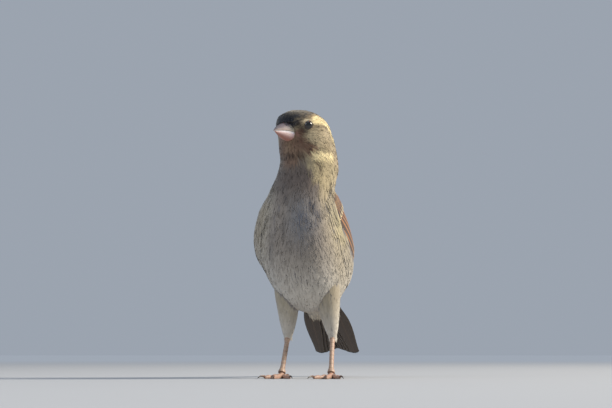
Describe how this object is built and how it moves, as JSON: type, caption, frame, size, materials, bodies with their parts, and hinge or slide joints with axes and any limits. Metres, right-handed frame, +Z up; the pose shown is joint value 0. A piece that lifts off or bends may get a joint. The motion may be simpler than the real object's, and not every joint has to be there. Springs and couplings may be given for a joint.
{
  "type": "house sparrow model",
  "caption": "Life-size model of a small brown finch-like bird, standing upright on both feet with its head turned to its right and wings folded.",
  "frame": {"origin": "on the floor, under the middle of the model's box", "axes": "+Z up, -Y the way the breast faces, +X the bird's own left"},
  "size_m": [0.046, 0.1104, 0.122],
  "materials": {
    "crown_feathers": "matt feathers, mottled grey-brown with a buff stripe",
    "throat_feathers": "matt feathers, brownish grey",
    "body_feathers": "matt feathers, grey-buff below and streaked brown above",
    "tail_feathers": "matt feathers, dark brown with pale edges",
    "wing_coverts": "matt feathers, rufous brown with dark centres and a pale bar",
    "flight_feathers": "matt feathers, dark brown with buff edges",
    "upper_bill": "smooth horn with a soft sheen",
    "lower_bill": "smooth pale horn with a soft sheen",
    "eye": "wet gloss",
    "leg_skin": "scaly pinkish brown skin",
    "claw": "smooth dark horn"
  },
  "bodies": {
    "root": {"head": "crown_feathers", "neck": "throat_feathers", "trunk": "body_feathers", "tail": "tail_feathers", "bill_upper": "upper_bill", "bill_lower": "lower_bill", "eye_left": "eye", "wing_left_coverts": "wing_coverts", "wing_left_secondaries": "flight_feathers", "wing_left_primaries": "flight_feathers", "thigh_left": "body_feathers", "tarsus_left": "leg_skin", "toe_left_inner": "leg_skin", "claw_left_inner": "claw", "toe_left_middle": "leg_skin", "claw_left_middle": "claw", "toe_left_outer": "leg_skin", "claw_left_outer": "claw", "toe_left_hind": "leg_skin", "claw_left_hind": "claw", "eye_right": "eye", "wing_right_coverts": "wing_coverts", "wing_right_secondaries": "flight_feathers", "wing_right_primaries": "flight_feathers", "thigh_right": "body_feathers", "tarsus_right": "leg_skin", "toe_right_inner": "leg_skin", "claw_right_inner": "claw", "toe_right_middle": "leg_skin", "claw_right_middle": "claw", "toe_right_outer": "leg_skin", "claw_right_outer": "claw", "toe_right_hind": "leg_skin", "claw_right_hind": "claw"}
  },
  "joints": []
}
